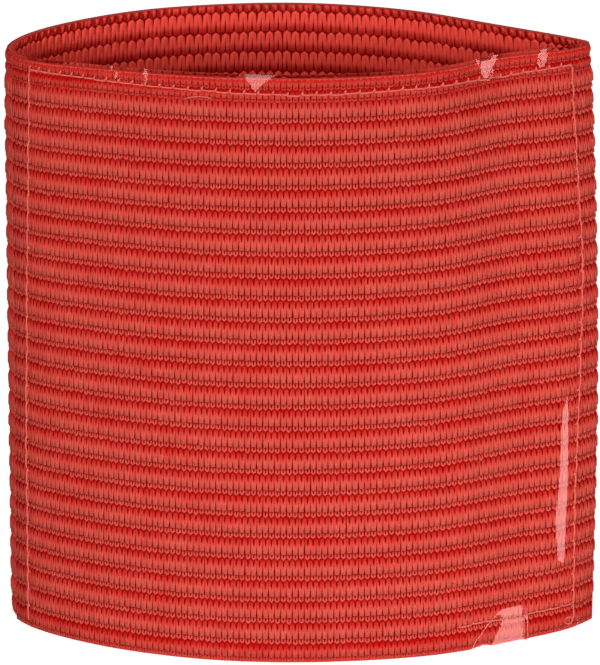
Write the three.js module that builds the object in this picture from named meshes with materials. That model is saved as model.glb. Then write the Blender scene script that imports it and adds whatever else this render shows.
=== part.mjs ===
// Elastic armband with a clear window, standing on its lower edge.
// The band is one closed loop of thick ribbed elastic, pressed to a lens shape seen from above.
// A clear film is sewn over its front face. Millimetres, +Z up, the front faces -Y.
// The origin is on the standing plane, under the middle of the object's box.
import * as THREE from 'three';

// Height of the elastic, measured along the cloth
const BAND_HEIGHT = 120;

// The wall, measured outwards from its middle line
const INNER_FACE = -0.9;
const GROOVE_FACE = 0.55;
const RIB_CREST = 1.15;
const EDGE_FACE = 0.7;

// The ribs run round the loop, below a narrow top band and above a narrow foot band
const TOP_BAND = 4.9;
const RIB_COUNT = 25;
const RIB_PITCH = 4.46;
const CREST_SHARE = 0.68;
const FOOT_BAND = BAND_HEIGHT - TOP_BAND - RIB_COUNT * RIB_PITCH;

// The inner face is smooth, so few rows carry its shape
const INNER_ROWS = 6;

// The film lies on the rib crests and stands a little above the elastic
const FILM_GAP = 0.3;
const FILM_THICKNESS = 0.4;
const FILM_OVERHANG = 0.9;
const FILM_FOOT_CLEARANCE = 0.4;
const FILM_ROWS = 6;
// Its two upright edges, as stations along the loop, just outside the side seams
const FILM_START = 0.6;
const FILM_END = 7.5;

// Sideways swelling of the right end at half height
const BELLY = 1.4;
const HALF_WIDTH = 60;

// Middle line of the wall at the top edge and at the foot, going round the loop
// from the left fold along the front to the right fold and back behind.
// Each row names the place, its point at the top, its point at the foot,
// and how many facets lead to the next row.
const STATIONS = [
  { place: 'left fold', topX: -57.8, topY: -5.7, footX: -58.9, footY: -3.3, facets: 3 },
  { place: 'left seam', topX: -53.0, topY: -13.9, footX: -54.8, footY: -11.8, facets: 4 },
  { place: 'front left', topX: -39.5, topY: -20.2, footX: -40.5, footY: -22.1, facets: 3 },
  { place: 'front inner left', topX: -20.0, topY: -26.1, footX: -20.5, footY: -29.3, facets: 3 },
  { place: 'front middle', topX: 1.5, topY: -27.9, footX: 1.5, footY: -31.1, facets: 4 },
  { place: 'crease', topX: 24.5, topY: -22.7, footX: 26.0, footY: -27.4, facets: 3 },
  { place: 'front right', topX: 39.0, topY: -11.4, footX: 42.0, footY: -20.1, facets: 4 },
  { place: 'right seam', topX: 52.1, topY: -5.4, footX: 54.7, footY: -12.1, facets: 4 },
  { place: 'right fold', topX: 56.3, topY: 0.1, footX: 58.5, footY: -5.5, facets: 2 },
  { place: 'behind the fold', topX: 54.9, topY: 1.9, footX: 56.1, footY: -0.9, facets: 3 },
  { place: 'back right', topX: 39.5, topY: 13.5, footX: 40.5, footY: 9.5, facets: 3 },
  { place: 'back inner right', topX: 19.6, topY: 26.9, footX: 19.5, footY: 19.5, facets: 4 },
  { place: 'back middle', topX: -3.5, topY: 32.3, footX: -3.5, footY: 23.1, facets: 4 },
  { place: 'back inner left', topX: -30.8, topY: 26.9, footX: -30.5, footY: 18.5, facets: 4 },
  { place: 'back left', topX: -48.5, topY: 14.3, footX: -49.0, footY: 9.5, facets: 3 },
  { place: 'left fold back', topX: -56.1, topY: 3.5, footX: -57.5, footY: 2.9, facets: 3 },
];

// Materials
const elasticMaterial = new THREE.MeshStandardMaterial({
  name: 'red_elastic',
  color: new THREE.Color(0.62, 0.06, 0.05),
  roughness: 0.8,
  metalness: 0,
});
const filmMaterial = new THREE.MeshStandardMaterial({
  name: 'clear_vinyl',
  color: new THREE.Color(0.95, 0.85, 0.84),
  roughness: 0.1,
  metalness: 0,
  transparent: true,
  opacity: 0.2,
});

// One smooth closed line through the stations at the top, and one at the foot
function middleLine(xName, yName) {
  const points = STATIONS.map((row) => new THREE.Vector3(row[xName], row[yName], 0));
  return new THREE.CatmullRomCurve3(points, true, 'centripetal');
}
const topLine = middleLine('topX', 'topY');
const footLine = middleLine('footX', 'footY');

// Point of the wall's middle at a station, which may lie between two rows, and a height
function middlePoint(station, height) {
  const along = (station / STATIONS.length + 1) % 1;
  const rise = Math.min(Math.max(height / BAND_HEIGHT, 0), 1);
  const point = footLine.getPoint(along).lerp(topLine.getPoint(along), rise);
  const towardsRight = Math.max(point.x / HALF_WIDTH, 0);
  point.x += BELLY * Math.sin(Math.PI * rise) * towardsRight ** 2;
  point.z = height;
  return point;
}

// Level direction that points out of the loop there
function outward(station, height) {
  const step = 0.01;
  const before = middlePoint(station - step, height);
  const after = middlePoint(station + step, height);
  const forward = after.sub(before);
  return new THREE.Vector3(forward.y, -forward.x, 0).normalize();
}

// Stations of the facets' upright edges, all the way round
function facetStations() {
  const stations = [];
  STATIONS.forEach((row, index) => {
    for (let facet = 0; facet < row.facets; facet += 1) {
      stations.push(index + facet / row.facets);
    }
  });
  return stations;
}

// The elastic's upright section: a list of corners as height and offset from the middle,
// up the inner face and down the ribbed outer face
function bandSection() {
  const corners = [];
  for (let row = 0; row <= INNER_ROWS; row += 1) {
    corners.push({ height: (BAND_HEIGHT * row) / INNER_ROWS, offset: INNER_FACE });
  }
  corners.push({ height: BAND_HEIGHT, offset: EDGE_FACE });
  for (let rib = 0; rib <= RIB_COUNT; rib += 1) {
    const ribTop = BAND_HEIGHT - TOP_BAND - rib * RIB_PITCH;
    const ribHeight = rib < RIB_COUNT ? RIB_PITCH : FOOT_BAND;
    corners.push({ height: ribTop, offset: GROOVE_FACE });
    corners.push({ height: ribTop - CREST_SHARE * ribHeight, offset: RIB_CREST });
  }
  corners.push({ height: 0, offset: EDGE_FACE });
  return corners;
}

// The film's upright section, a thin upright strip
function filmSection() {
  const inner = RIB_CREST + FILM_GAP;
  const outer = inner + FILM_THICKNESS;
  const rise = BAND_HEIGHT + FILM_OVERHANG - FILM_FOOT_CLEARANCE;
  const heights = [];
  for (let row = 0; row <= FILM_ROWS; row += 1) {
    heights.push(FILM_FOOT_CLEARANCE + (rise * row) / FILM_ROWS);
  }
  const up = heights.map((height) => ({ height, offset: inner }));
  const down = [...heights].reverse().map((height) => ({ height, offset: outer }));
  return [...up, ...down];
}

// Carries a closed section along the stations. A closed loop meets itself, and an open
// strip gets a cap at each end.
function sweep(section, stations, closed) {
  const positions = [];
  for (const station of stations) {
    for (const { height, offset } of section) {
      const point = middlePoint(station, height);
      point.addScaledVector(outward(station, height), offset);
      positions.push(point.x, point.y, point.z);
    }
  }
  const indices = [];
  const size = section.length;
  const spans = closed ? stations.length : stations.length - 1;
  for (let span = 0; span < spans; span += 1) {
    const here = span * size;
    const there = ((span + 1) % stations.length) * size;
    for (let corner = 0; corner < size; corner += 1) {
      const next = (corner + 1) % size;
      indices.push(here + corner, here + next, there + next);
      indices.push(here + corner, there + next, there + corner);
    }
  }
  if (!closed) {
    const last = (stations.length - 1) * size;
    for (let row = 0; row < size / 2 - 1; row += 1) {
      const across = size - 1 - row;
      indices.push(row, across - 1, row + 1);
      indices.push(row, across, across - 1);
      indices.push(last + row, last + row + 1, last + across - 1);
      indices.push(last + row, last + across - 1, last + across);
    }
  }
  const geometry = new THREE.BufferGeometry();
  geometry.setAttribute('position', new THREE.Float32BufferAttribute(positions, 3));
  geometry.setIndex(indices);
  geometry.computeVertexNormals();
  return geometry;
}

// The elastic loop, open at the top and the bottom where the arm goes through
function elasticBand() {
  const mesh = new THREE.Mesh(sweep(bandSection(), facetStations(), true), elasticMaterial);
  mesh.name = 'elastic_band';
  return mesh;
}

// The clear film over the front, from just outside one side seam to just outside the other
function pocketWindow() {
  const apart = 0.05;
  const between = facetStations().filter(
    (station) => station > FILM_START + apart && station < FILM_END - apart,
  );
  const stations = [FILM_START, ...between, FILM_END];
  const mesh = new THREE.Mesh(sweep(filmSection(), stations, false), filmMaterial);
  mesh.name = 'pocket_window';
  return mesh;
}

const armband = new THREE.Group();
armband.add(elasticBand());
armband.add(pocketWindow());

export default armband;
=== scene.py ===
# %% [markdown]
# # An elastic armband with a clear window
#
# The object is a wide band of red ribbed elastic, sewn into a loop and standing open on its
# lower edge. A clear film is sewn over its front face. Nearly everything that the eye reads
# as cloth is knitting: rows of yarn loops, each about a millimetre wide. This lesson knits
# those rows flat, as a machine does, and then wraps the flat cloth round the loop.

import math
from collections import namedtuple

import bmesh
import bpy
import numpy as np
from mathutils import Matrix, Vector


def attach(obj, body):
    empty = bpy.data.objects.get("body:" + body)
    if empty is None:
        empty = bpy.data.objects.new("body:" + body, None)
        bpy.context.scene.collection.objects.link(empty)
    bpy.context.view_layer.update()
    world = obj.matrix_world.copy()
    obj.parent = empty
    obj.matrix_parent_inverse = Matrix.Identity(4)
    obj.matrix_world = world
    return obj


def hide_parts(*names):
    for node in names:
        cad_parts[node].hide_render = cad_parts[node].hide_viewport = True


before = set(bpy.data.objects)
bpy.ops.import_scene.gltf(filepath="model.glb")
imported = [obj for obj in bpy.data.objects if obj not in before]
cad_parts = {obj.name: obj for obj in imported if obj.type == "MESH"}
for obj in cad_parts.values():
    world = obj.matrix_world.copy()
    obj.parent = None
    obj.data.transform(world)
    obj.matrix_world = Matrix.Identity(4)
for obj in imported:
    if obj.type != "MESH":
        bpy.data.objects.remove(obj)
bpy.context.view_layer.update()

# %% [markdown]
# ## The line that the cloth follows
#
# Seen from above, the real band is pressed to a lens, with a fold at each end. One way to
# get that shape is to draw two curves by hand in the editor. A short table is easier to
# change: each row is a named place on the loop, with its point at the top edge, its point
# at the foot, and how many columns of knitting (wales) lead to the next place. A smooth
# curve through the points gives the rest.

# %% Places round the loop, in millimetres
Place = namedtuple("Place", "name top_x top_y foot_x foot_y wales")
PLACES = [
    Place("left fold", -57.8, -5.7, -58.9, -3.3, 8),
    Place("left seam", -53.0, -13.9, -54.8, -11.8, 16),
    Place("front left", -39.5, -20.2, -40.5, -22.1, 18),
    Place("front inner left", -20.0, -26.1, -20.5, -29.3, 19),
    Place("front middle", 1.5, -27.9, 1.5, -31.1, 21),
    Place("crease", 24.5, -22.7, 26.0, -27.4, 15),
    Place("front right", 39.0, -11.4, 42.0, -20.1, 13),
    Place("right seam", 52.1, -5.4, 54.7, -12.1, 7),
    Place("right fold", 56.3, 0.1, 58.5, -5.5, 3),
    Place("behind the fold", 54.9, 1.9, 56.1, -0.9, 17),
    Place("back right", 39.5, 13.5, 40.5, 9.5, 21),
    Place("back inner right", 19.6, 26.9, 19.5, 19.5, 21),
    Place("back middle", -3.5, 32.3, -3.5, 23.1, 25),
    Place("back inner left", -30.8, 26.9, -30.5, 18.5, 19),
    Place("back left", -48.5, 14.3, -49.0, 9.5, 11),
    Place("left fold back", -56.1, 3.5, -57.5, 2.9, 6),
]
MM = 0.001
HEIGHT = 120.0
LOOP_LENGTH = 273.0
# At half height the right end bellies out: how far, at this distance from the middle
BELLY = 1.4
HALF_WIDTH = 60.0

wales_before = np.concatenate([[0], np.cumsum([place.wales for place in PLACES])])
WALES = int(wales_before[-1])
WALE = LOOP_LENGTH / WALES
print(f"{WALES} wales round the loop, {WALE:.3f} mm each")


# %% A smooth closed line through the places
def smooth_line(points, steps=64):
    """Points of a centripetal curve through the given ones, which it closes, steps to a span."""
    count = len(points)
    share = np.linspace(0, 1, steps, endpoint=False)[:, None]
    spans = []
    for index in range(count):
        p0, p1, p2, p3 = (points[(index + shift) % count] for shift in (-1, 0, 1, 2))
        d0, d1, d2 = (math.sqrt(math.dist(a, b)) for a, b in ((p0, p1), (p1, p2), (p2, p3)))
        leave = ((p1 - p0) / d0 - (p2 - p0) / (d0 + d1) + (p2 - p1) / d1) * d1
        arrive = ((p2 - p1) / d1 - (p3 - p1) / (d1 + d2) + (p3 - p2) / d2) * d1
        square = -3 * p1 + 3 * p2 - 2 * leave - arrive
        cube = 2 * p1 - 2 * p2 + leave + arrive
        spans.append(p1 + leave * share + square * share**2 + cube * share**3)
    spans.append(points[:1])
    return np.concatenate(spans)


top_line = smooth_line(np.array([(place.top_x, place.top_y) for place in PLACES]))
foot_line = smooth_line(np.array([(place.foot_x, place.foot_y) for place in PLACES]))
line_wales = np.interp(
    np.linspace(0, len(PLACES), len(top_line)), np.arange(len(PLACES) + 1), wales_before
)


# %% From flat cloth to the standing loop
def middle(wale, height):
    """Level points of the wall's middle, from wales round the loop and millimetres up."""
    round_once = np.mod(wale, WALES)
    rise = np.clip(height / HEIGHT, 0, 1)
    x, y = (
        np.interp(round_once, line_wales, foot_line[:, axis]) * (1 - rise)
        + np.interp(round_once, line_wales, top_line[:, axis]) * rise
        for axis in (0, 1)
    )
    x = x + BELLY * np.sin(np.pi * rise) * np.maximum(x / HALF_WIDTH, 0) ** 2
    return x, y


def wrap(flat):
    """Standing places in metres of flat ones: wales along, millimetres up, millimetres out."""
    wale, height, out = flat.T
    step = 0.25
    before_x, before_y = middle(wale - step, height)
    after_x, after_y = middle(wale + step, height)
    length = np.hypot(after_x - before_x, after_y - before_y)
    x, y = middle(wale, height)
    x = x + out * (after_y - before_y) / length
    y = y - out * (after_x - before_x) / length
    return np.stack([x, y, height], 1) * MM


print("Front middle at the foot:", wrap(np.array([[wales_before[4], 0.0, 0.0]]))[0])

# %% [markdown]
# ## One strand, and how it is repeated
#
# A knitted loop is a bent length of yarn. It could be a curve with a round bevel, but then
# each loop would be an object of its own. Here a small circle is made once and its end face
# is extruded from point to point of a short path, which makes a closed tube of a few dozen
# faces. Two Array modifiers then lay that loop out in columns and rows, and one numpy step
# moves every copy to its place on the cloth. That keeps thousands of loops in one mesh.


# %% A closed strand along a path
def section_place(path, index, half_width, sides):
    """The matrix that carries a unit circle to one point of the path, square to the path."""
    point = Vector(path[index])
    ahead = Vector(path[min(index + 1, len(path) - 1)])
    behind = Vector(path[max(index - 1, 0)])
    along = (ahead - behind).normalized()
    side = along.cross(Vector((0, 0, 1))).normalized()
    rise = side.cross(along)
    size = half_width / math.cos(math.pi / sides)
    turn = Matrix((side * size, rise * size, along * size)).transposed().to_4x4()
    return Matrix.Translation(point) @ turn @ Matrix.Rotation(math.pi / sides, 4, "Z")


def add_strand(bm, path, half_widths, sides=4):
    """Extrudes one closed strand along the path, with half a width at each of its points."""
    places = [section_place(path, index, half_widths[index], sides) for index in range(len(path))]
    ring = bmesh.ops.create_circle(
        bm, cap_ends=True, segments=sides, radius=1, matrix=places[0]
    )["verts"]
    end = ring[0].link_faces[0]
    for here, there in zip(places, places[1:]):
        grown = bmesh.ops.extrude_face_region(bm, geom=[end, *end.edges, *end.verts])["geom"]
        moved = [item for item in grown if isinstance(item, bmesh.types.BMVert)]
        end = next(item for item in grown if isinstance(item, bmesh.types.BMFace))
        bmesh.ops.transform(bm, matrix=there @ here.inverted(), verts=moved)
    bmesh.ops.recalc_face_normals(bm, faces=bm.faces)


def mirrored(half, *middle_points):
    """A whole loop from its left half: any middle points, then the half again, flipped."""
    return half + list(middle_points) + [(-x, y, z) for x, y, z in reversed(half)]


def finish_mesh(name, bm):
    """A smooth object from a bmesh, at the origin."""
    mesh = bpy.data.meshes.new(name)
    bm.to_mesh(mesh)
    bm.free()
    mesh.shade_smooth()
    piece = bpy.data.objects.new(name, mesh)
    bpy.context.scene.collection.objects.link(piece)
    return piece


def apply_modifiers(piece):
    """Keeps what the modifiers made as the piece's own mesh."""
    graph = bpy.context.evaluated_depsgraph_get()
    mesh = bpy.data.meshes.new_from_object(piece.evaluated_get(graph))
    plain = piece.data
    piece.modifiers.clear()
    piece.data = mesh
    bpy.data.meshes.remove(plain)
    mesh.name = piece.name


def array(piece, count, offset):
    """One Array modifier with a fixed step."""
    repeat = piece.modifiers.new("repeat", "ARRAY")
    repeat.count = count
    repeat.use_relative_offset = False
    repeat.use_constant_offset = True
    repeat.constant_offset_displace = offset


# %% Reading and writing a mesh's points at once
def points_of(mesh):
    """All points as an array with one row each."""
    flat = np.empty(len(mesh.vertices) * 3, np.float32)
    mesh.vertices.foreach_get("co", flat)
    return flat.reshape(-1, 3).astype(float)


def put_points(mesh, points):
    """Writes all points back."""
    mesh.vertices.foreach_set("co", points.astype(np.float32).ravel())
    mesh.update()


def add_cloth_map(mesh, flat):
    """A UV map named cloth that holds flat cloth millimetres, so that patterns follow the knit."""
    corners = np.empty(len(mesh.loops), np.int32)
    mesh.loops.foreach_get("vertex_index", corners)
    layer = mesh.uv_layers.new(name="cloth")
    place = np.stack([flat[:, 0] * WALE, flat[:, 1]], 1)[corners]
    layer.data.foreach_set("uv", place.astype(np.float32).ravel())


def add_value(mesh, name, values):
    """A number on each point, which the material reads by its name."""
    attribute = mesh.attributes.new(name, "FLOAT", "POINT")
    attribute.data.foreach_set("value", values.astype(np.float32))


def triangles(piece):
    """How many triangles the piece has."""
    piece.data.calc_loop_triangles()
    return len(piece.data.loop_triangles)


# %% [markdown]
# ## The seams
#
# The film is held by lockstitch seams along its top and its two sides, and near the foot a
# seam shows only right of the middle. Each seam is a stitch length and a short table of points
# on the flat cloth, in wales and millimetres up. They come first, because a seam presses the
# knitting under it flat, so the knitting has to know where they run.

# %% Where the seams run on the flat cloth
Seam = namedtuple("Seam", "name stitch points")
SEAMS = [
    Seam("top", 2.68, [
        (9.1, 118.5), (21.7, 118.0), (33.0, 117.7), (42.6, 117.4), (49.8, 117.1), (57.6, 116.9),
        (66.0, 116.9), (75.9, 117.2), (85.2, 117.0), (95.9, 116.4), (103.5, 116.8), (109.8, 117.2),
    ]),
    Seam("left", 3.6, [(9.1, 118.5), (8.6, 91.0), (8.1, 70.0), (7.9, 38.0), (8.3, 1.6)]),
    Seam("right", 3.45, [
        (109.8, 117.2), (110.3, 94.0), (110.9, 78.0), (110.6, 68.0), (109.7, 48.0), (108.8, 27.0),
        (109.0, 1.8),
    ]),
    Seam("foot", 2.6, [(86.1, 5.6), (92.7, 5.85), (100.3, 5.7), (108.9, 5.7)]),
]
# The film's two upright edges, in wales
FILM_FIRST = 4.8
FILM_LAST = 113.5


def seam_line(seam, step=0.2):
    """Points along a seam in flat millimetres, a fixed small step apart."""
    corners = np.array(seam.points) * (WALE, 1)
    reach = np.concatenate([[0], np.cumsum(np.hypot(*np.diff(corners, axis=0).T))])
    along = np.arange(0, reach[-1], step)
    return np.stack([np.interp(along, reach, corners[:, axis]) for axis in (0, 1)], 1), along


seam_lines = {seam.name: seam_line(seam) for seam in SEAMS}
print({name: round(float(along[-1]), 1) for name, (points, along) in seam_lines.items()})

# %% How far a place is from the seams
FAR = 99.0
SEAM_MARGIN = 3
PLACES_AT_ONCE = 4000


def distance_to_seams(flat):
    """How far each flat place is from the nearest seam, in millimetres, and FAR past the margin."""
    place = flat[:, :2] * (WALE, 1)
    nearest = np.full(len(place), FAR)
    for points, along in seam_lines.values():
        low, high = points.min(0) - SEAM_MARGIN, points.max(0) + SEAM_MARGIN
        near = np.flatnonzero(((place > low) & (place < high)).all(1))
        every_other = points[None, ::2]
        for start in range(0, len(near), PLACES_AT_ONCE):
            some = near[start : start + PLACES_AT_ONCE]
            apart = place[some, None] - every_other
            gap = np.hypot(apart[..., 0], apart[..., 1]).min(1)
            nearest[some] = np.minimum(nearest[some], gap)
    return nearest


SEAM_REACH = 0.75


def pressed(flat, depth, reach=SEAM_REACH):
    """How far the seams press each flat place down: the depth under them, less beside them."""
    return depth * np.exp(-((distance_to_seams(flat) / reach) ** 2))


# %% [markdown]
# ## The outer knitting
#
# Each rib of the real elastic is one row of long loops. A loop starts deep, under the row
# above, as two legs with a dark slot between them. The legs draw together, rise and end in
# a round bright tongue. Below the tongue sits a small loop, which makes the groove between
# two ribs. The rows at the top edge are the same knit, squeezed, and so is the row at the
# foot. So one long loop and one small loop are made, and a table of rows says how high and
# how proud each row is.

# %% Rows of the outer knitting, from the top edge down
Row = namedtuple("Row", "top height proud")
TOP_ROW = 2.35
RIB = 4.46
RIBS = 25
TOP_ROWS = 2
# The knit stops a little short of the cut edges
BELOW_RIM = 0.15
ABOVE_FOOT = 0.1
top_rows = [
    Row(top=HEIGHT - BELOW_RIM - TOP_ROW * row, height=TOP_ROW, proud=0.78)
    for row in range(TOP_ROWS)
]
ribs_start = HEIGHT - TOP_ROWS * TOP_ROW
ribs = [Row(top=ribs_start - RIB * row, height=RIB, proud=1.0) for row in range(RIBS)]
foot_start = ribs_start - RIBS * RIB
edge_rows = top_rows + [Row(top=foot_start, height=foot_start - ABOVE_FOOT, proud=0.85)]
print(f"{RIBS} ribs and {len(edge_rows)} edge rows, the foot row {foot_start:.2f} mm high")

# %% One long loop and one small loop, seen flat
# Points are a share of a wale to the side, a share of the row down, and millimetres out.
LONG_HALF = [(-0.34, -0.04, 0.56), (-0.33, 0.15, 0.76), (-0.22, 0.35, 0.94), (-0.15, 0.655, 0.97)]
LONG_WIDTHS = [0.19, 0.20, 0.28, 0.26]
SMALL_LEG = [(-0.26, 0.71, 0.66), (-0.25, 0.85, 0.86)]
SMALL_WIDTHS = [0.17, 0.195, 0.20, 0.195, 0.17]
SMALL_FOOT = (0.0, 0.915, 0.86)
long_path = mirrored(LONG_HALF)
long_widths = LONG_WIDTHS + LONG_WIDTHS[::-1]
small_path = mirrored(SMALL_LEG, SMALL_FOOT)

# %% One loop laid out in columns and rows
Laid = namedtuple("Laid", "copy column row side down out")


def lay_out(name, path, widths, wale, rib, columns, rows, flatness=1.0):
    """Repeats a strand in columns a wale apart and rows a rib apart, all still flat.

    Gives the piece and, for each of its points, the number of its copy, its column and row,
    and where it lies in its own loop: shares to the side and down, and millimetres out.
    """
    bm = bmesh.new()
    strand = [(side * wale, -down * rib, out / flatness) for side, down, out in path]
    add_strand(bm, strand, widths)
    bmesh.ops.scale(bm, vec=(1, 1, flatness), verts=bm.verts)
    piece = finish_mesh(name, bm)
    points_each = len(piece.data.vertices)
    array(piece, columns, (wale, 0, 0))
    array(piece, rows, (0, -rib, 0))
    apply_modifiers(piece)
    points = points_of(piece.data)
    copy = np.arange(len(points)) // points_each
    column = copy % columns
    row = copy // columns
    side = points[:, 0] / wale - column
    down = -points[:, 1] / rib - row
    return piece, Laid(copy, column, row, side, down, points[:, 2])


def lay_round(piece, flat, painted_light):
    """Gives the flat piece its cloth map and its painted light value, and wraps it round the band.
    """
    add_cloth_map(piece.data, flat)
    add_value(piece.data, "painted_light", np.clip(painted_light, 0, 1))
    put_points(piece.data, wrap(flat))


# %% Rows of one loop, a little uneven
# Spreads of a loop's lean and sway in wales, and of its length and fullness as shares. A loop
# leans round a point a share of the row below its top.
LEAN = 0.045
SWAY = 0.022
LENGTH_SPREAD = 0.022
FULLNESS_SPREAD = 0.03
LEAN_ROUND = 0.3
# How deep a seam presses the knit, and the crease's place in wales, reach and depth
SEAM_PRESS = 0.42
CREASE_WALE = 86.0
CREASE_REACH = 0.7
CREASE_DEPTH = 0.22
# No loop reaches past these heights
LOWEST = 0.12
HIGHEST = HEIGHT - 0.1
# The painted light value grows from one relief to the other: painted shade where the yarn lies low,
# painted sheen on its crowns. It grows again towards the tongue's end, a painted highlight.
CROWN_LOW = 0.66
CROWN_HIGH = 1.28
BODY_CROWN = 0.7
# The tip values paint a highlight towards the tongue's end, where the loop turns down into shade
TIP_HIGHLIGHT = 0.32
TIP_FROM = 0.3
TIP_OVER = 0.35


def knit_rows(name, path, widths, first_wale, wales, rows=ribs, seed=1):
    """Knits one kind of loop over a stretch of wales and all rows, and wraps it."""
    piece, laid = lay_out(name, path, widths, WALE, RIB, wales, len(rows))
    random = np.random.default_rng(seed)
    loops = wales * len(rows)
    lean = random.normal(0, LEAN, loops)[laid.copy]
    sway = random.normal(0, SWAY, loops)[laid.copy]
    longer = random.normal(0, LENGTH_SPREAD, loops)[laid.copy]
    fuller = random.normal(0, FULLNESS_SPREAD, loops)[laid.copy]
    tops = np.array([item.top for item in rows])[laid.row]
    heights = np.array([item.height for item in rows])[laid.row]
    proud = np.array([item.proud for item in rows])[laid.row]
    wale = first_wale + 0.5 + laid.column + laid.side + sway + lean * (laid.down - LEAN_ROUND)
    height = tops - heights * laid.down * (1 + longer * laid.down)
    out = laid.out * (proud + fuller)
    flat = np.stack([wale, height, out], 1)
    flat[:, 2] -= pressed(flat, SEAM_PRESS)
    flat[:, 2] -= CREASE_DEPTH * np.exp(-(((wale - CREASE_WALE) / CREASE_REACH) ** 2))
    flat[:, 1] = np.clip(flat[:, 1], LOWEST, HIGHEST)
    # Painted shade where the loop lies low, painted sheen where it stands proud
    painted_light = BODY_CROWN * (out - CROWN_LOW) / (CROWN_HIGH - CROWN_LOW)
    # Painted highlight towards the tongue's end
    painted_light += TIP_HIGHLIGHT * np.clip((laid.down - TIP_FROM) / TIP_OVER, 0, 1)
    lay_round(piece, flat, painted_light)
    print(f"{name}: {loops} loops, {triangles(piece)} triangles")
    return piece


# %% Knit the outer face, front and back
FRONT_WALES = WALES // 2
BACK_WALES = WALES - FRONT_WALES
long_front = knit_rows("rib_loops_front", long_path, long_widths, 0, FRONT_WALES, seed=11)
long_back = knit_rows("rib_loops_back", long_path, long_widths, FRONT_WALES, BACK_WALES, seed=12)
small_front = knit_rows("groove_loops_front", small_path, SMALL_WIDTHS, 0, FRONT_WALES, seed=13)
small_back = knit_rows(
    "groove_loops_back", small_path, SMALL_WIDTHS, FRONT_WALES, BACK_WALES, seed=14
)
long_edge = knit_rows("edge_loops", long_path, long_widths, 0, WALES, edge_rows, seed=15)
small_edge = knit_rows("edge_groove_loops", small_path, SMALL_WIDTHS, 0, WALES, edge_rows, seed=16)

# %% [markdown]
# ## The inner knitting
#
# The inner face shows the same yarn from behind: rows of wider arches that stand upright,
# each with a dark slot between its feet and a notch beside its top. The top edge cuts the
# first row, so only its feet show. It uses the same recipe with another loop and its own
# rows.

# %% One arch of the inner face
INNER_WALES = 147
INNER_WALE = LOOP_LENGTH / INNER_WALES
INNER_RIB = 4.15
INNER_ROWS = 30
# Top of the first whole row; the row above it is the one that the edge cuts
INNER_FIRST_TOP = HEIGHT - 1.3
ARCH_HALF = [(-0.31, 1.05, 0.46), (-0.26, 0.60, 0.70), (-0.20, 0.18, 0.76)]
ARCH_TOP = (0.0, 0.125, 0.78)
ARCH_WIDTHS = [0.33, 0.42, 0.37]
ARCH_TOP_WIDTH = 0.35
# The arch's yarn is pressed flat: this share of its width is its thickness
ARCH_FLAT = 0.6
# Spreads and limits, as for the outer loops
INNER_LEAN = 0.05
INNER_SWAY = 0.02
INNER_RAISE = 0.02
INNER_LEAN_ROUND = 0.5
INNER_HIGHEST = HEIGHT - 0.15
INNER_CROWN_LOW = 0.45
INNER_CROWN_HIGH = 0.95
arch_path = mirrored(ARCH_HALF, ARCH_TOP)
arch_widths = ARCH_WIDTHS + [ARCH_TOP_WIDTH] + ARCH_WIDTHS[::-1]


def knit_inner(name, first, wales, seed):
    """Knits the arch over the inner face, from one column on, and wraps it."""
    piece, laid = lay_out(
        name, arch_path, arch_widths, INNER_WALE, INNER_RIB, wales, INNER_ROWS, ARCH_FLAT
    )
    random = np.random.default_rng(seed)
    loops = wales * INNER_ROWS
    lean = random.normal(0, INNER_LEAN, loops)[laid.copy]
    sway = random.normal(0, INNER_SWAY, loops)[laid.copy]
    raised = random.normal(0, INNER_RAISE, loops)[laid.copy]
    leaning = lean * (laid.down - INNER_LEAN_ROUND)
    wale = (first + 0.5 + laid.column - laid.side + sway + leaning) * WALES / INNER_WALES
    tops = INNER_FIRST_TOP - INNER_RIB * (laid.row - 1)
    height = np.clip(tops - INNER_RIB * (laid.down + raised), LOWEST, INNER_HIGHEST)
    flat = np.stack([wale, height, -laid.out], 1)
    # Painted shade where the arch lies low, painted sheen where it stands proud
    painted_light = (laid.out - INNER_CROWN_LOW) / (INNER_CROWN_HIGH - INNER_CROWN_LOW)
    lay_round(piece, flat, painted_light)
    print(f"{name}: {loops} loops, {triangles(piece)} triangles")
    return piece


INNER_FRONT = 74
inner_front = knit_inner("inner_loops_front", 0, INNER_FRONT, seed=21)
inner_back = knit_inner("inner_loops_back", INNER_FRONT, INNER_WALES - INNER_FRONT, seed=22)

# %% [markdown]
# ## The core of the elastic
#
# Between the two knitted faces the real cloth holds rubber threads and hidden yarn. It shows only
# as the dark ground at the bottom of slots and notches. A wall of its own makes the cloth tight, so
# that no light comes through. It is a flat grid, given its thickness with solidify, wrapped into a
# loop and closed where its ends meet. Its two faces get a finish each: the inner one is painted
# much darker, a painted shade for the deep slots of the inner face.

# %% A flat slab, wrapped
# first and last are wales, low and high are shares of the height, inner and outer are
# millimetres out from the middle of the wall
Slab = namedtuple("Slab", "name first last low high columns rows inner outer")
OUTER_FINISH = 0
INNER_FINISH = 1
NEARLY = 0.01
SHARP = math.radians(50)
# Along the cut edges the ground is painted as pale as the yarn, a painted light on the rim's top
# face: how far from them, and how softly
RIM_LIGHT_REACH = 1.0
RIM_LIGHT_SOFT = 0.6


def open_ends(bm, slab):
    """Takes the slab's two end faces away, and tells its inner face from its outer one."""
    ends = [
        face for face in bm.faces
        if abs(face.calc_center_median().x - slab.first) < NEARLY
        or abs(face.calc_center_median().x - slab.last) < NEARLY
    ]
    bmesh.ops.delete(bm, geom=ends, context="FACES_ONLY")
    for face in bm.faces:
        is_inner = face.calc_center_median().z < slab.inner + NEARLY
        face.material_index = INNER_FINISH if is_inner else OUTER_FINISH


def join_ends(mesh):
    """Merges the points of the two ends where they meet."""
    bm = bmesh.new()
    bm.from_mesh(mesh)
    bmesh.ops.remove_doubles(bm, verts=bm.verts, dist=0.001 * MM)
    bm.to_mesh(mesh)
    bm.free()


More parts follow.
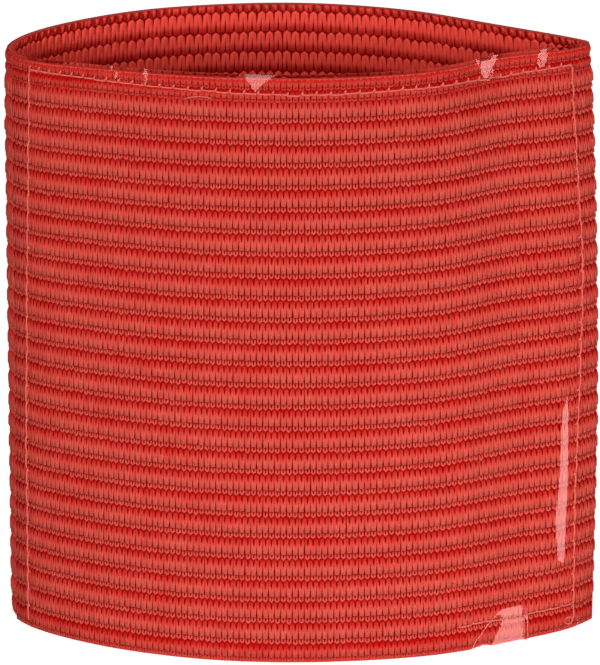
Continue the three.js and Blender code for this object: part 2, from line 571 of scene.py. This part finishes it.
def wrapped_slab(slab, shape, closed=False):
    """A thin slab over a stretch of flat cloth. shape moves its points before they are wrapped."""
    bm = bmesh.new()
    bmesh.ops.create_grid(bm, x_segments=slab.columns, y_segments=slab.rows, size=1)
    across = Vector(((slab.last - slab.first) / 2, (slab.high - slab.low) / 2, 1))
    bmesh.ops.scale(bm, vec=across, verts=bm.verts)
    centre = Vector(((slab.first + slab.last) / 2, (slab.low + slab.high) / 2, slab.inner))
    bmesh.ops.translate(bm, vec=centre, verts=bm.verts)
    bmesh.ops.solidify(bm, geom=bm.faces[:], thickness=slab.inner - slab.outer)
    bmesh.ops.recalc_face_normals(bm, faces=bm.faces)
    if closed:
        open_ends(bm, slab)
    for edge in bm.edges:
        edge.smooth = len(edge.link_faces) < 2 or edge.calc_face_angle() < SHARP
    piece = finish_mesh(slab.name, bm)
    flat = shape(points_of(piece.data))
    # Painted light along the cut edges
    from_edge = HEIGHT / 2 - np.abs(flat[:, 1] - HEIGHT / 2)
    lay_round(piece, flat, (RIM_LIGHT_REACH - from_edge) / RIM_LIGHT_SOFT)
    if closed:
        join_ends(piece.data)
    return piece


# %% The wall behind the loops
CORE = Slab(
    "band_core", first=0, last=WALES, low=0.0, high=1.0, columns=WALES // 2, rows=60,
    inner=-0.42, outer=0.40,
)
# The share of its rows that lies below each height, so that the rows are fine at the edges
CORE_ROWS = [(0.0, 0.12), (0.06, 1.0), (0.72, 113.0), (0.88, 118.6), (0.96, 119.6), (1.0, 119.9)]
CORE_PRESS = 0.34
# Near the top edge the core rolls out under the last loops: how far, from where and how softly
RIM_ROLL = 0.27
RIM_FOOT = 118.9
RIM_RISE = 0.5


def spread_rows(flat, table):
    """Gives a slab's evenly spaced rows the heights that a table of shares says."""
    shares, heights = zip(*table)
    flat[:, 1] = np.interp(flat[:, 1], shares, heights)


def press_core(flat):
    """The core's outer face gives way under the seams, and rolls out at the rim."""
    spread_rows(flat, CORE_ROWS)
    outer = flat[:, 2] > (CORE.inner + CORE.outer) / 2
    roll = RIM_ROLL * np.clip((flat[:, 1] - RIM_FOOT) / RIM_RISE, 0, 1)
    flat[outer, 2] += (roll - pressed(flat, CORE_PRESS))[outer]
    return flat


core = wrapped_slab(CORE, press_core, closed=True)
print(f"band_core: {triangles(core)} triangles")

# %% [markdown]
# ## The clear film
#
# The window is soft clear vinyl. It lies on the tops of the ribs, dips where a stitch pulls
# it down, and leans back over the band's rim, where a few small puckers catch the light.
# Near the right seam it stands off in one long buckle. A cloth simulation would find folds of its
# own, and the photo's folds are few and known, so a fine grid is shaped with a few named swells.

# %% Puckers and buckles of the film
# How far out its inner face lies, how thick it is, how high it reaches, and its rows' heights
FILM_OUT = 1.48
FILM_THICK = 0.2
FILM_HIGH = 120.9
FILM_ROWS = [(0.0, 0.4), (0.14, 8.8), (0.5, 113.0), (0.62, 116.2), (1.0, FILM_HIGH)]
SEAM_DIP = 0.05
SEAM_DIP_REACH = 0.8
# Faint waves: their height, and how fast two of them turn with each wale and each millimetre up
WAVE_HEIGHT = 0.05
ROUND_WAVE = (0.31, 0.043)
UP_WAVE = (0.05, 0.11)
# Each pucker: the wales it spans at the film's top, then at its foot, the foot's height, and
# how far it leans back, in degrees. It steps out at its foot, then leans back above it.
Pucker = namedtuple("Pucker", "name left right foot_left foot_right foot lean")
PUCKER_SOFT = 0.3
PUCKER_PUSH = 0.45
PUCKER_STEP = 0.3
PUCKERS = [
    Pucker("far left", 26.6, 28.5, 27.2, 28.0, 117.7, 10.2),
    Pucker("left", 32.7, 33.7, 32.8, 33.6, 117.6, 10.2),
    Pucker("middle", 50.1, 54.6, 51.5, 52.1, 117.0, 10.0),
    Pucker("right", 91.0, 94.8, 91.5, 92.9, 116.3, 9.9),
    Pucker("far right", 103.3, 105.0, 103.2, 104.4, 116.9, 9.0),
]
# The long buckle beside the right seam: height, wale of its crest, and how proud it stands
BUCKLE = [
    (13.2, 106.8, 0.0), (15.2, 105.0, 0.9), (17.8, 103.7, 1.25), (21.2, 103.1, 1.5),
    (28.0, 103.4, 1.6), (35.4, 104.7, 1.1), (42.9, 105.0, 1.0), (52.0, 105.4, 0.85),
    (54.5, 106.0, 0.0),
]
# It rises over this many wales before its crest, and falls off behind it at this slope
BUCKLE_BEFORE = 5.0
BUCKLE_SLOPE = math.tan(math.radians(20))
# The film's foot kicks out in one place: its height, and the wales it spans there and at the foot
KICK_HEIGHT = 8.4
KICK_TOP = (95.5, 98.5)
KICK_FOOT = (89.6, 98.2)
KICK_SOFT = 1.3
KICK_LEAN = math.tan(math.radians(14.8))
# Past the right seam the stiff film runs on straight where the cloth bends back
STRAIGHT_FROM = 110.0
STRAIGHT_LIFT = 0.65


def between(value, left, right, soft):
    """One inside the span from left to right, falling to nothing over a soft border inside it."""
    return np.clip(np.minimum(value - left, right - value) / soft, 0, 1)


def leaning_span(wale, share, start, end, soft):
    """One inside a span of wales that goes from its start to its end as the share grows."""
    left = start[0] + (end[0] - start[0]) * share
    right = start[1] + (end[1] - start[1]) * share
    return between(wale, left - soft, right + soft, soft)


def faint_waves(flat):
    """The film's shallow waves and its dip under the seams."""
    waves = np.full(len(flat), WAVE_HEIGHT)
    for per_wale, per_mm in (ROUND_WAVE, UP_WAVE):
        waves *= np.sin(flat[:, 0] * per_wale + flat[:, 1] * per_mm)
    return waves - pressed(flat, SEAM_DIP, SEAM_DIP_REACH)


def buckle_lift(wale, height):
    """The long buckle: it rises slowly to its crest and falls off at a steady slope."""
    heights, crests, lifts = zip(*BUCKLE)
    past = wale - np.interp(height, heights, crests)
    lift = np.interp(height, heights, lifts)
    before = lift * (1 + past / BUCKLE_BEFORE)
    after = lift - past * WALE * BUCKLE_SLOPE
    return np.clip(np.minimum(before, after), 0, None)


def film_out(flat):
    """How far out the film lies over each flat place, in millimetres."""
    wale, height = flat[:, 0], flat[:, 1]
    out = np.full(len(flat), FILM_OUT)
    waves = faint_waves(flat)
    for pucker in PUCKERS:
        above = np.clip(height - pucker.foot, 0, None)
        foot = (pucker.foot_left, pucker.foot_right)
        top = (pucker.left, pucker.right)
        body = leaning_span(wale, above / (FILM_HIGH - pucker.foot), foot, top, PUCKER_SOFT)
        lean = math.tan(math.radians(pucker.lean))
        out += body * (PUCKER_PUSH * np.clip(above / PUCKER_STEP, 0, 1) - above * lean)
        waves *= 1 - body * (above > 0)
    out += waves + buckle_lift(wale, height)
    drop = np.clip(KICK_HEIGHT - height, 0, None)
    kick = leaning_span(wale, drop / KICK_HEIGHT, KICK_TOP, KICK_FOOT, KICK_SOFT)
    out += kick * drop * KICK_LEAN
    past_seam = np.clip((wale - STRAIGHT_FROM) / (FILM_LAST - STRAIGHT_FROM), 0, 1)
    return out + STRAIGHT_LIFT * past_seam**2


def lay_film(flat):
    """Lifts the film's two faces to where it lies."""
    spread_rows(flat, FILM_ROWS)
    flat[:, 2] += film_out(flat)
    return flat


FILM = Slab(
    "window_film", first=FILM_FIRST, last=FILM_LAST, low=0.0, high=1.0, columns=270, rows=60,
    inner=0, outer=FILM_THICK,
)
film = wrapped_slab(FILM, lay_film)
print(f"window_film: {triangles(film)} triangles")

# %% [markdown]
# ## The stitches
#
# A lockstitch shows as a short straight thread from one needle hole to the next, where it dives
# into the cloth. One stitch is a strand that starts and ends below the film, and each seam is that
# stitch repeated along its line. At each hole a light tick of thread stands to one side: a painted
# highlight, for the glint of the film where it ripples up from the needle hole.

# %% One stitch, repeated along a seam
# Points are a share of the stitch along, millimetres to the side, and millimetres out
THREAD = 0.14
STITCH_SHAPE = [
    (-0.5, 0.0, -0.45), (-0.45, 0.0, -0.05), (-0.22, 0.0, 0.10),
    (0.22, 0.0, 0.10), (0.45, 0.0, -0.05), (0.5, 0.0, -0.45),
]
# The tick is a painted highlight of pale thread, for the film's glint at each needle hole
GLINT_TICK_SHAPE = [
    (-0.50, 0.0, -0.4), (-0.48, 0.12, 0.0), (-0.45, 0.36, 0.1), (-0.41, 0.62, 0.0),
    (-0.40, 0.70, -0.4),
]
GLINT_TICK_WIDTHS = [0.12, 0.17, 0.19, 0.13, 0.08]
# How far the ticks reach to the side of each seam, minus being to the other side
GLINT_TICK_SIDE = {"top": 1.0, "left": 0.55, "right": -0.75, "foot": 0.5}
THREAD_SIDES = 6
# The thread's middle lies this far above the film, and the needle strays this far sideways
THREAD_ON_FILM = 0.12
NEEDLE_STRAY = 0.06
COURSE_STEP = 0.4


def place_on_seam(seam, way):
    """Flat places, in millimetres, at the given ways along a seam."""
    line, along = seam_lines[seam.name]
    return np.stack([np.interp(way, along, line[:, axis]) for axis in (0, 1)], 1)


def sew(seam, seed):
    """The thread of one seam, laid on the film."""
    whole = seam_lines[seam.name][1][-1]
    count = int(whole / seam.stitch)
    length = whole / count
    reach = GLINT_TICK_SIDE[seam.name]
    stitch_path = [(x * length, y, z) for x, y, z in STITCH_SHAPE]
    glint_tick_path = [(x * length, y * reach, z) for x, y, z in GLINT_TICK_SHAPE]
    bm = bmesh.new()
    add_strand(bm, stitch_path, [THREAD] * len(stitch_path), THREAD_SIDES)
    # Painted highlight at each needle hole
    add_strand(bm, glint_tick_path, GLINT_TICK_WIDTHS, THREAD_SIDES)
    piece = finish_mesh("thread_" + seam.name, bm)
    points_each = len(piece.data.vertices)
    array(piece, count, (length, 0, 0))
    apply_modifiers(piece)
    points = points_of(piece.data)
    stitch = np.arange(len(points)) // points_each
    random = np.random.default_rng(seed)
    stray = random.normal(0, NEEDLE_STRAY, (count, 2))[stitch, 0]
    way = points[:, 0] + length / 2
    here = place_on_seam(seam, way)
    course = place_on_seam(seam, way + COURSE_STEP) - place_on_seam(seam, way - COURSE_STEP)
    course /= np.hypot(course[:, 0], course[:, 1])[:, None]
    sideways = np.stack([-course[:, 1], course[:, 0]], 1)
    place = here + sideways * (points[:, 1] + stray)[:, None]
    on_film = film_out(here / (WALE, 1)) + FILM_THICK + THREAD_ON_FILM
    flat = np.stack([place[:, 0] / WALE, place[:, 1], on_film + points[:, 2]], 1)
    add_cloth_map(piece.data, points / (WALE, 1, 1))
    put_points(piece.data, wrap(flat))
    print(f"thread_{seam.name}: {count} stitches of {length:.2f} mm, {triangles(piece)} triangles")
    return piece


threads = [sew(seam, seed=31 + index) for index, seam in enumerate(SEAMS)]

# %% Loose ends of thread
# Points are wales round, millimetres up, and millimetres out from the film.
LOOSE_ARC = [
    (39.7, 115.4, 0.0), (40.6, 116.0, 0.3), (42.4, 116.3, 0.4), (43.8, 116.2, 0.3),
    (44.6, 115.9, 0.0),
]
LOOSE_THREAD = 0.11
# The curl is part of a circle: its middle, its radius, its first angle and its turn in degrees,
# and how far out its middle bulges
CURL_MIDDLE = (107.7, 2.4)
CURL_RADIUS = 0.75
CURL_START = -150
CURL_TURN = 300
CURL_BULGE = 0.5
CURL_STEPS = 12


def curl_point(share):
    """One point of the curl, in millimetres, from its start at 0 to its end at 1."""
    turn = math.radians(CURL_START + CURL_TURN * share)
    along = CURL_MIDDLE[0] * WALE + CURL_RADIUS * math.cos(turn)
    up = CURL_MIDDLE[1] + CURL_RADIUS * math.sin(turn)
    return along, up, CURL_BULGE * math.sin(math.pi * share)


def loose_thread():
    """The thread's two loose ends: an arc under the top seam and a curl by the right seam."""
    arc = [(wale * WALE, height, out) for wale, height, out in LOOSE_ARC]
    curl = [curl_point(step / CURL_STEPS) for step in range(CURL_STEPS + 1)]
    bm = bmesh.new()
    for path in (arc, curl):
        add_strand(bm, path, [LOOSE_THREAD] * len(path), THREAD_SIDES)
    piece = finish_mesh("thread_loose", bm)
    flat = points_of(piece.data) / (WALE, 1, 1)
    add_cloth_map(piece.data, flat)
    flat[:, 2] += film_out(flat) + FILM_THICK + THREAD_ON_FILM
    put_points(piece.data, wrap(flat))
    return piece


threads.append(loose_thread())
print(f"thread_loose: {triangles(threads[-1])} triangles")

# %% [markdown]
# ## Yarn, thread and film as materials
#
# The yarn is a bundle of fine filaments. Three things make it look so: it is painted deepest red
# where it lies low, a painted shade for the light that reaches it there only from other red yarn,
# it is painted paler on the crowns and towards a tongue's end, a painted sheen and highlight, and
# fine streaks run along it. The painted shade and sheen come from a value on each point. Streaks
# and patches follow the cloth's own flat map. One node group makes all three and each material sets
# its own colours.


# %% A node for one sum
def calculate(tree, operation, first, second, clamp=False):
    """A Math node on two sockets or numbers. Gives its output."""
    node = tree.nodes.new("ShaderNodeMath")
    node.operation = operation
    node.use_clamp = clamp
    for socket, value in zip(node.inputs, (first, second)):
        if isinstance(value, float):
            socket.default_value = value
        else:
            tree.links.new(value, socket)
    return node.outputs[0]


# %% A node group for yarn
# How finely the noise varies for each millimetre across and up the cloth
FILAMENTS_PER_MM = (7.0, 1.1, 1.0)
PATCHES_PER_MM = 0.11
NOISE_DETAIL = 2.0
NOISE_MIDDLE = 0.5


def noise_around_zero(tree, place, scale, amount):
    """A noise on a place. Gives its plain output, and one that varies round zero by the amount."""
    noise = tree.nodes.new("ShaderNodeTexNoise")
    noise.inputs["Scale"].default_value = scale
    noise.inputs["Detail"].default_value = NOISE_DETAIL
    tree.links.new(place, noise.inputs["Vector"])
    plain = noise.outputs["Fac"]
    centred = calculate(tree, "SUBTRACT", plain, NOISE_MIDDLE)
    return plain, calculate(tree, "MULTIPLY", centred, amount)


def yarn_group():
    """Colour and height of yarn: painted shade and sheen from how proud it lies, streaks and
    patches from the cloth's flat map.
    """
    tree = bpy.data.node_groups.new("yarn", "ShaderNodeTree")
    for name, kind, default in (
        ("Low", "NodeSocketColor", (0.5, 0.01, 0.01, 1)),
        ("High", "NodeSocketColor", (0.7, 0.08, 0.06, 1)),
        ("Streaks", "NodeSocketFloat", 0.3),
        ("Patches", "NodeSocketFloat", 0.15),
    ):
        socket = tree.interface.new_socket(name=name, in_out="INPUT", socket_type=kind)
        socket.default_value = default
    tree.interface.new_socket(name="Color", in_out="OUTPUT", socket_type="NodeSocketColor")
    tree.interface.new_socket(name="Height", in_out="OUTPUT", socket_type="NodeSocketFloat")
    nodes, links = tree.nodes, tree.links
    inputs = nodes.new("NodeGroupInput").outputs
    outputs = nodes.new("NodeGroupOutput").inputs
    # The painted shade and sheen of the yarn, a value on each point
    painted_light = nodes.new("ShaderNodeAttribute")
    painted_light.attribute_name = "painted_light"
    cloth = nodes.new("ShaderNodeUVMap")
    cloth.uv_map = "cloth"
    stretch = nodes.new("ShaderNodeMapping")
    stretch.inputs["Scale"].default_value = FILAMENTS_PER_MM
    links.new(cloth.outputs["UV"], stretch.inputs["Vector"])

    height, streaks = noise_around_zero(tree, stretch.outputs["Vector"], 1.0, inputs["Streaks"])
    patches = noise_around_zero(tree, cloth.outputs["UV"], PATCHES_PER_MM, inputs["Patches"])[1]
    streaked = calculate(tree, "ADD", painted_light.outputs["Fac"], streaks)
    share = calculate(tree, "ADD", streaked, patches, clamp=True)

    colour = nodes.new("ShaderNodeMix")
    colour.data_type = "RGBA"
    links.new(share, colour.inputs["Factor"])
    links.new(inputs["Low"], colour.inputs[6])
    links.new(inputs["High"], colour.inputs[7])
    links.new(colour.outputs[2], outputs["Color"])
    links.new(height, outputs["Height"])
    return tree


YARN = yarn_group()

# %% Yarn of any colour
YARN_SHINE = 0.05
YARN_BUMP = 0.35
FILAMENT_DEPTH = 0.1 * MM


def yarn_material(name, low, high, streaks, patches, roughness=0.7):
    """A matt yarn with filament streaks, from its painted shade colour where it lies low and its
    painted sheen colour on its crowns.
    """
    material = bpy.data.materials.new(name)
    material.use_nodes = True
    nodes, links = material.node_tree.nodes, material.node_tree.links
    shader = nodes["Principled BSDF"]
    shader.inputs["Roughness"].default_value = roughness
    shader.inputs["Specular IOR Level"].default_value = YARN_SHINE
    yarn = nodes.new("ShaderNodeGroup")
    yarn.node_tree = YARN
    yarn.inputs["Low"].default_value = (*low, 1)
    yarn.inputs["High"].default_value = (*high, 1)
    yarn.inputs["Streaks"].default_value = streaks
    yarn.inputs["Patches"].default_value = patches
    relief = nodes.new("ShaderNodeBump")
    relief.inputs["Strength"].default_value = YARN_BUMP
    relief.inputs["Distance"].default_value = FILAMENT_DEPTH
    links.new(yarn.outputs["Color"], shader.inputs["Base Color"])
    links.new(yarn.outputs["Height"], relief.inputs["Height"])
    links.new(relief.outputs["Normal"], shader.inputs["Normal"])
    return material


# %% The finishes of the cloth and the thread
# The pale red of the ground along the cut edges: painted light on the rim
RIM_LIGHT_RED = (0.80, 0.075, 0.055)
# For the knitted yarn the first colour is a painted shade where it lies low, the second a painted
# sheen on its crowns
outer_yarn = yarn_material("outer_yarn", (0.66, 0.004, 0.003), (0.92, 0.138, 0.101), 0.5, 0.3)
# The inner yarn's crown colour is pushed to full red: painted light for the inside, which the lamps
# reach less
inner_yarn = yarn_material("inner_yarn", (0.68, 0.006, 0.004), (1.0, 0.088, 0.062), 0.4, 0.2)
ground_yarn = yarn_material("ground_yarn", (0.60, 0.003, 0.002), RIM_LIGHT_RED, 0.4, 0.2)
# Painted shade: the inner face's ground is painted far darker than its yarn, for the shade in its
# slots
inner_ground_shade = yarn_material("inner_ground_shade", (0.28, 0.001, 0.001), RIM_LIGHT_RED, 0.4, 0.2)
thread_yarn = yarn_material(
    "sewing_thread", (0.90, 0.17, 0.13), (0.95, 0.26, 0.20), 0.5, 0.1, roughness=0.5
)


# %% The finish of the film
def film_material():
    """Clear glossy vinyl that lets lamp light through."""
    material = bpy.data.materials.new("clear_vinyl")
    material.use_nodes = True
    nodes, links = material.node_tree.nodes, material.node_tree.links
    shader = nodes["Principled BSDF"]
    shader.inputs["Base Color"].default_value = (1.0, 0.97, 0.965, 1)
    shader.inputs["Roughness"].default_value = 0.05
    shader.inputs["IOR"].default_value = 1.5
    shader.inputs["Transmission Weight"].default_value = 1.0
    through = nodes.new("ShaderNodeBsdfTransparent")
    path = nodes.new("ShaderNodeLightPath")
    mix = nodes.new("ShaderNodeMixShader")
    links.new(path.outputs["Is Camera Ray"], mix.inputs[0])
    links.new(through.outputs[0], mix.inputs[1])
    links.new(shader.outputs[0], mix.inputs[2])
    links.new(mix.outputs[0], nodes["Material Output"].inputs["Surface"])
    return material


clear_vinyl = film_material()

# %% Dress the pieces, attach them, and hide the model's band and window parts
outer_loops = [long_front, long_back, small_front, small_back, long_edge, small_edge]
for piece in outer_loops:
    piece.data.materials.append(outer_yarn)
for piece in (inner_front, inner_back):
    piece.data.materials.append(inner_yarn)
core.data.materials.append(ground_yarn)
core.data.materials.append(inner_ground_shade)
film.data.materials.append(clear_vinyl)
for piece in threads:
    piece.data.materials.append(thread_yarn)

knitting = outer_loops + [inner_front, inner_back]
for piece in knitting + [core]:
    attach(piece, "root")
for piece in threads:
    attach(piece, "root")
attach(film, "root")
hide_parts("elastic_band")
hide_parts("pocket_window")

# %% [markdown]
# ## Camera, floor and light
#
# The camera stands in front, 18 degrees above level and 0.9 m away, where the curves of the
# three rims agree with the photo. Soft lamps light the cloth from the left front, the right
# and above, and a beam lifts the foot right of the middle. The film must stay clear, so it
# mirrors neither these lamps nor the floor. It mirrors only three rose lamps, which don't light
# the cloth and stand where the upright film can't show them to the camera. The puckers, the
# buckle and the kicked-out foot lean far enough to catch them.

# %% The camera
IMAGE_HEIGHT_PX = 665
FOCAL_PX = 4446
CAMERA_DISTANCE = 0.9
CAMERA_RISE = math.radians(18)
camera_target = Vector((-0.5, -2.5, 60)) * MM

camera_data = bpy.data.cameras.new("camera")
camera_data.sensor_fit = "VERTICAL"
camera_data.sensor_height = 36
camera_data.lens = FOCAL_PX / IMAGE_HEIGHT_PX * camera_data.sensor_height
camera_data.clip_start = 0.05
camera_data.clip_end = 20
camera = bpy.data.objects.new("camera", camera_data)
back_and_up = Vector((0, -math.cos(CAMERA_RISE), math.sin(CAMERA_RISE)))
camera.location = camera_target + CAMERA_DISTANCE * back_and_up
camera.rotation_euler = (math.pi / 2 - CAMERA_RISE, 0, 0)
bpy.context.scene.collection.objects.link(camera)
bpy.context.scene.camera = camera


# %% The floor
def pale_floor():
    """A plain floor that the film doesn't mirror."""
    bm = bmesh.new()
    bmesh.ops.create_grid(bm, x_segments=1, y_segments=1, size=6)
    floor = finish_mesh("floor", bm)
    material = bpy.data.materials.new("floor_paint")
    material.use_nodes = True
    shader = material.node_tree.nodes["Principled BSDF"]
    shader.inputs["Base Color"].default_value = (0.9, 0.9, 0.9, 1)
    shader.inputs["Roughness"].default_value = 0.9
    shader.inputs["Specular IOR Level"].default_value = 0.0
    shader.inputs["Emission Color"].default_value = (1, 1, 1, 1)
    shader.inputs["Emission Strength"].default_value = 0.7
    floor.data.materials.append(material)
    floor.visible_glossy = False
    floor.visible_diffuse = False
    return floor


pale_floor()


# %% Hanging a lamp
BAND_MIDDLE = (0, 0, 0.06)
BEAM_SOURCE = 0.15


def hang(data, place, aim):
    """The lamp's object at its place, turned to its aim, both in metres."""
    hung = bpy.data.objects.new(data.name, data)
    hung.location = place
    hung.rotation_euler = (Vector(aim) - Vector(place)).to_track_quat("-Z", "Y").to_euler()
    bpy.context.scene.collection.objects.link(hung)
    return hung


def soft_lamp(name, place, size, watts, colour=(1, 1, 1)):
    """A wide lamp aimed at the middle of the band. The camera can't see it."""
    data = bpy.data.lights.new(name, "AREA")
    data.shape = "RECTANGLE"
    data.size, data.size_y = size
    data.energy = watts
    data.color = colour
    hung = hang(data, place, BAND_MIDDLE)
    hung.visible_camera = False
    return hung


def beam(name, place, aim, reach, watts):
    """A round soft beam that fades out at a reach round its aim, all in metres."""
    data = bpy.data.lights.new(name, "SPOT")
    data.energy = watts
    data.spot_size = 2 * math.atan(reach / math.dist(place, aim))
    data.spot_blend = 1
    data.shadow_soft_size = BEAM_SOURCE
    return hang(data, place, aim)


# %% Lamps that light the cloth
cloth_lamps = [
    soft_lamp("key", (-0.50, -1.80, 0.47), (1.2, 0.4), 16.3),
    soft_lamp("fill", (1.5, -1.2, 0.20), (1.0, 0.8), 6.5),
    soft_lamp("overhead", (0.0, -0.75, 1.45), (1.0, 1.0), 6),
    beam("foot beam", (0.40, -1.10, 0.10), (0.045, -0.02, -0.01), 0.13, 40),
]
for hung in cloth_lamps:
    hung.visible_glossy = False

# %% Lamps that only the film mirrors
ROSE = (1.0, 0.58, 0.55)
ROSE_AWAY = 2.0


def on_circle(azimuth, elevation, away=ROSE_AWAY):
    """A place round the band: azimuth to the right of straight in front, both in degrees."""
    turn, rise = math.radians(azimuth), math.radians(elevation)
    level = away * math.cos(rise)
    return (level * math.sin(turn), -level * math.cos(turn), BAND_MIDDLE[2] + away * math.sin(rise))


film_lamps = [
    soft_lamp("pucker light", on_circle(-4, 8), (3.0, 0.34), 19, ROSE),
    soft_lamp("right pucker light", on_circle(64, 8), (2.0, 0.38), 18, ROSE),
    soft_lamp("buckle light", on_circle(100, -18), (0.55, 1.2), 11, ROSE),
]
for hung in film_lamps:
    hung.visible_diffuse = False
print([hung.name for hung in cloth_lamps + film_lamps])

# %% The air around
# White to the camera and through the film, black where the film mirrors it, faint otherwise
AIR_LIGHT = 0.2
AIR_SEEN = 1.0
world = bpy.data.worlds.new("studio")
bpy.context.scene.world = world
world.use_nodes = True
nodes, links = world.node_tree.nodes, world.node_tree.links
rays = nodes.new("ShaderNodeLightPath").outputs
seen = calculate(world.node_tree, "MAXIMUM", rays["Is Camera Ray"], rays["Is Transmission Ray"])
lit = calculate(world.node_tree, "SUBTRACT", AIR_LIGHT, rays["Is Glossy Ray"], clamp=True)
strength = nodes.new("ShaderNodeMix")
strength.data_type = "FLOAT"
strength.inputs[3].default_value = AIR_SEEN
links.new(seen, strength.inputs[0])
links.new(lit, strength.inputs[2])
background = nodes["Background"]
background.inputs["Color"].default_value = (1, 1, 1, 1)
links.new(strength.outputs[0], background.inputs["Strength"])

bpy.context.scene.view_settings.view_transform = "Standard"
bpy.context.scene.view_settings.look = "None"
